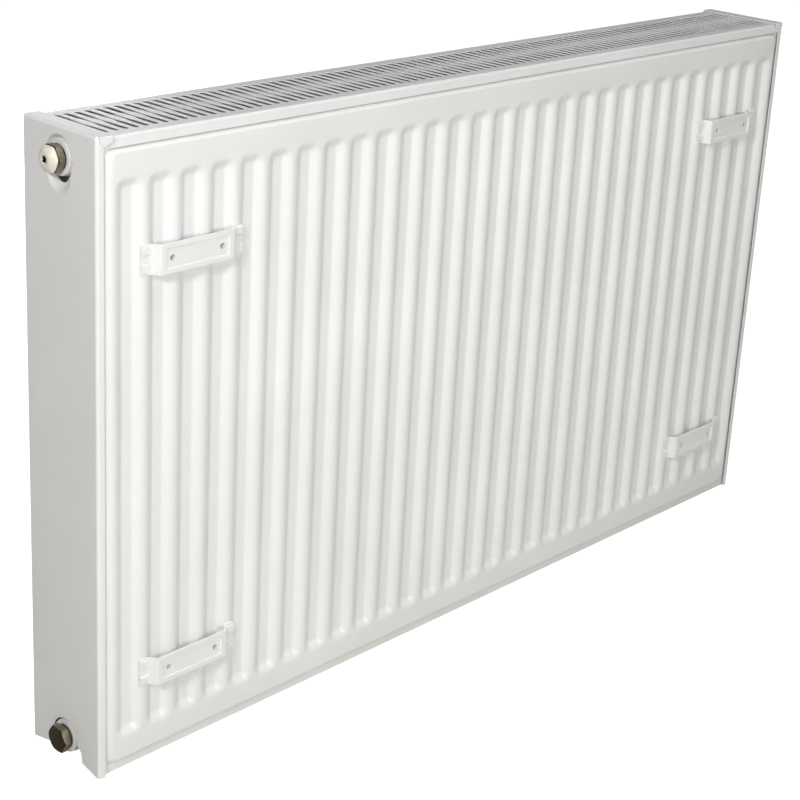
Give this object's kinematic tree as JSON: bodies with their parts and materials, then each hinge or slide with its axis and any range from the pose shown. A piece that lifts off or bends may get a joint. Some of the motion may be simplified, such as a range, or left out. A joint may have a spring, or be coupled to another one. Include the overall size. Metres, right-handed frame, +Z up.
{
  "type": "panel radiator",
  "caption": "Long, low steel panel radiator with two grooved water panels, folded convectors, a slotted top grille, side covers, wall straps, an air vent and a blind plug.",
  "frame": {"origin": "middle of the bounding box, at the bottom edge of the panels", "axes": "+Z up, X along the length with the air vent and blind plug at +X, +Y towards the wall (the side with the four welded straps)"},
  "size_m": [1.015, 0.1132, 0.6],
  "materials": {
    "white_enamel": "gloss white powder coat",
    "plug_metal": "dull, browned brass",
    "spring_steel": "zinc-plated spring steel",
    "seal_rubber": "matte black",
    "cap_plastic": "cream moulded plastic"
  },
  "bodies": {
    "root": {"front_outer_sheet": "white_enamel", "front_inner_sheet": "white_enamel", "rear_inner_sheet": "white_enamel", "rear_outer_sheet": "white_enamel", "front_convector": "white_enamel", "rear_convector": "white_enamel", "tee_top_right": "white_enamel", "tee_bottom_right": "white_enamel", "tee_top_left": "white_enamel", "tee_bottom_left": "white_enamel", "top_grille": "white_enamel", "grille_clips": "spring_steel", "bracket_top_right": "white_enamel", "bracket_bottom_right": "white_enamel", "bracket_top_left": "white_enamel", "bracket_bottom_left": "white_enamel", "vent_plug": "plug_metal", "vent_o_ring": "seal_rubber", "blind_plug": "plug_metal", "blind_o_ring": "seal_rubber"},
    "cover_right": {"side_cover_right": "white_enamel", "cover_clips_right": "spring_steel"},
    "cover_left": {"side_cover_left": "white_enamel", "cover_clips_left": "spring_steel"},
    "vent_cap": {"vent_cap": "cap_plastic"},
    "vent_seal": {"vent_seal": "seal_rubber"},
    "vent_screw": {"vent_screw": "plug_metal"}
  },
  "joints": [
    {"name": "cover_right_slide", "type": "slide", "parent": "root", "child": "cover_right", "axis": [1, 0, 0], "range_m": [0, 0.04]},
    {"name": "cover_left_slide", "type": "slide", "parent": "root", "child": "cover_left", "axis": [-1, 0, 0], "range_m": [0, 0.04]},
    {"name": "vent_cap_turn", "type": "hinge", "parent": "root", "child": "vent_cap", "pos_m": [0.5025, -0.0044, 0.573], "axis": [1, 0, 0], "continuous": true},
    {"name": "vent_seal_travel", "type": "slide", "parent": "root", "child": "vent_seal", "axis": [1, 0, 0], "range_m": [0, 0.0015]},
    {"name": "vent_screw_turn", "type": "hinge", "parent": "vent_seal", "child": "vent_screw", "pos_m": [0.4975, -0.0044, 0.573], "axis": [1, 0, 0], "range_deg": [0, 550]}
  ],
  "couplings": [
    {"joint": "vent_screw_turn", "follows": "vent_seal_travel", "rad_per_m": 6283.2}
  ]
}
